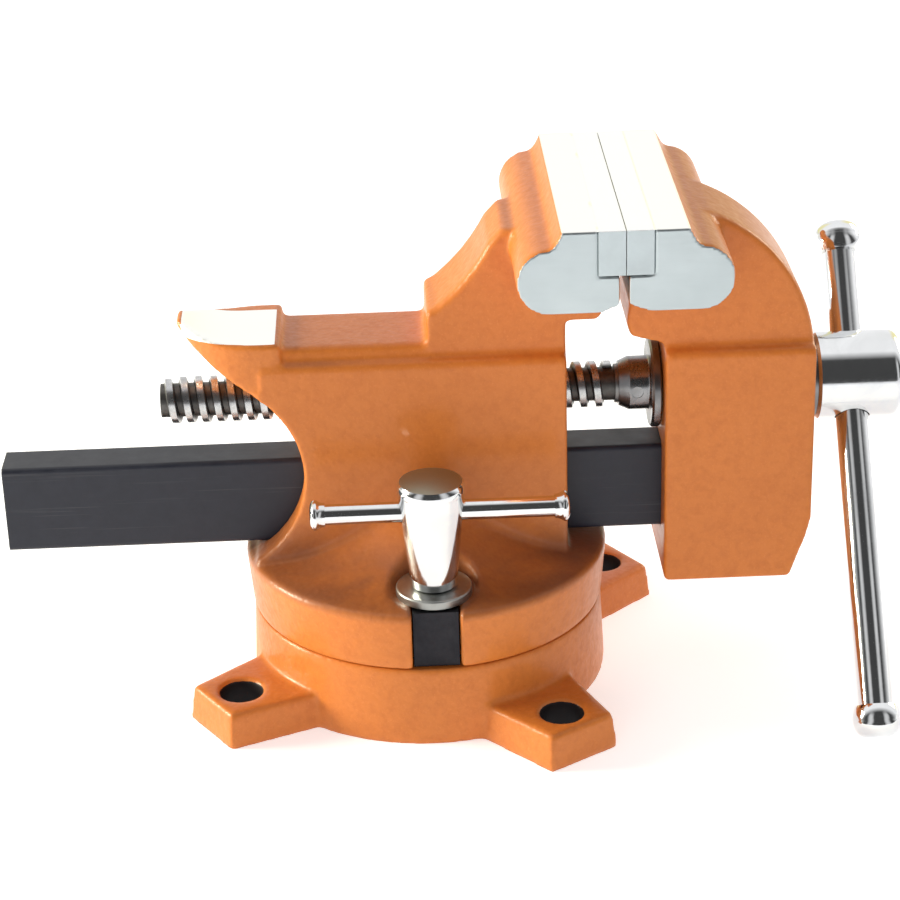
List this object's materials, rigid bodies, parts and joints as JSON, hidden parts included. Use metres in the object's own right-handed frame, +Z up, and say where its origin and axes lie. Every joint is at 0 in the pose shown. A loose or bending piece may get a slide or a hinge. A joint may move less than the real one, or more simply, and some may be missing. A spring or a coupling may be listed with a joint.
{
  "type": "bench vise",
  "caption": "Cast bench vise on a swivel base with an anvil horn, a flat slide bar under the screw, plated wide jaws and a sliding cross handle.",
  "frame": {"origin": "on the swivel axis, at the underside of the base where it meets the bench", "axes": "+Z up along the swivel axis; +X along the screw from the fixed jaw to the handle at rest; -Y is the side the picture is taken from"},
  "size_m": [0.2985, 0.1622, 0.171],
  "materials": {
    "orange_paint": "hammered orange enamel over grey iron",
    "jaw_steel": "ground, hardened",
    "black_oxide": "black oxide",
    "black_paint": "satin black",
    "screw_steel": "rolled thread, lightly oiled",
    "zinc_steel": "bright zinc",
    "bronze": "as turned",
    "chrome": "bright chrome"
  },
  "bodies": {
    "base": {"swivel_base": "orange_paint"},
    "swivel_body": {"fixed_jaw_casting": "orange_paint", "pivot_bolt": "zinc_steel", "pivot_washer": "zinc_steel", "fixed_jaw_plate": "jaw_steel", "fixed_jaw_plate_screws": "black_oxide", "spindle_nut": "bronze", "nut_set_screw": "black_oxide", "lock_bolt_front": "black_oxide", "lock_bolt_rear": "black_oxide", "lock_washer_front": "chrome", "lock_washer_rear": "chrome"},
    "moving_jaw": {"moving_jaw_casting": "orange_paint", "moving_jaw_plate": "jaw_steel", "moving_jaw_plate_screws": "black_oxide", "slide_bar": "black_paint", "slide_bar_pins": "zinc_steel"},
    "screw": {"spindle": "screw_steel", "retaining_collar": "screw_steel", "collar_pin": "zinc_steel", "thrust_washer": "zinc_steel", "spindle_hub": "chrome", "hub_pin": "zinc_steel"},
    "handle": {"handle_rod": "chrome", "handle_knobs": "chrome"},
    "front_lock": {"lock_nut_front": "chrome"},
    "front_lock_bar": {"lock_bar_front": "chrome", "lock_bar_knobs_front": "chrome"},
    "rear_lock": {"lock_nut_rear": "chrome"},
    "rear_lock_bar": {"lock_bar_rear": "chrome", "lock_bar_knobs_rear": "chrome"}
  },
  "joints": [
    {"name": "swivel", "type": "hinge", "parent": "base", "child": "swivel_body", "pos_m": [0, 0, 0.02], "axis": [0, 0, 1], "continuous": true},
    {"name": "jaw_slide", "type": "slide", "parent": "swivel_body", "child": "moving_jaw", "axis": [1, 0, 0], "range_m": [0, 0.1]},
    {"name": "screw_turn", "type": "hinge", "parent": "moving_jaw", "child": "screw", "pos_m": [0.115, 0, 0.0996], "axis": [1, 0, 0], "range_deg": [0, 7201]},
    {"name": "handle_slide", "type": "slide", "parent": "screw", "child": "handle", "axis": [0, 0.6088, 0.7934], "range_m": [-0.0275, 0.096]},
    {"name": "front_lock_turn", "type": "hinge", "parent": "swivel_body", "child": "front_lock", "pos_m": [0.0014, -0.044, 0.065], "axis": [0, 0, 1], "range_deg": [-14, 14]},
    {"name": "front_lock_bar_slide", "type": "slide", "parent": "front_lock", "child": "front_lock_bar", "axis": [1, 0, 0], "range_m": [-0.0285, 0.0232]},
    {"name": "rear_lock_turn", "type": "hinge", "parent": "swivel_body", "child": "rear_lock", "pos_m": [-0.0014, 0.044, 0.065], "axis": [0, 0, 1], "range_deg": [-14, 14]},
    {"name": "rear_lock_bar_slide", "type": "slide", "parent": "rear_lock", "child": "rear_lock_bar", "axis": [1, 0, 0], "range_m": [-0.0285, 0.0232]}
  ],
  "couplings": [
    {"joint": "screw_turn", "follows": "jaw_slide", "rad_per_m": 1256.6}
  ]
}
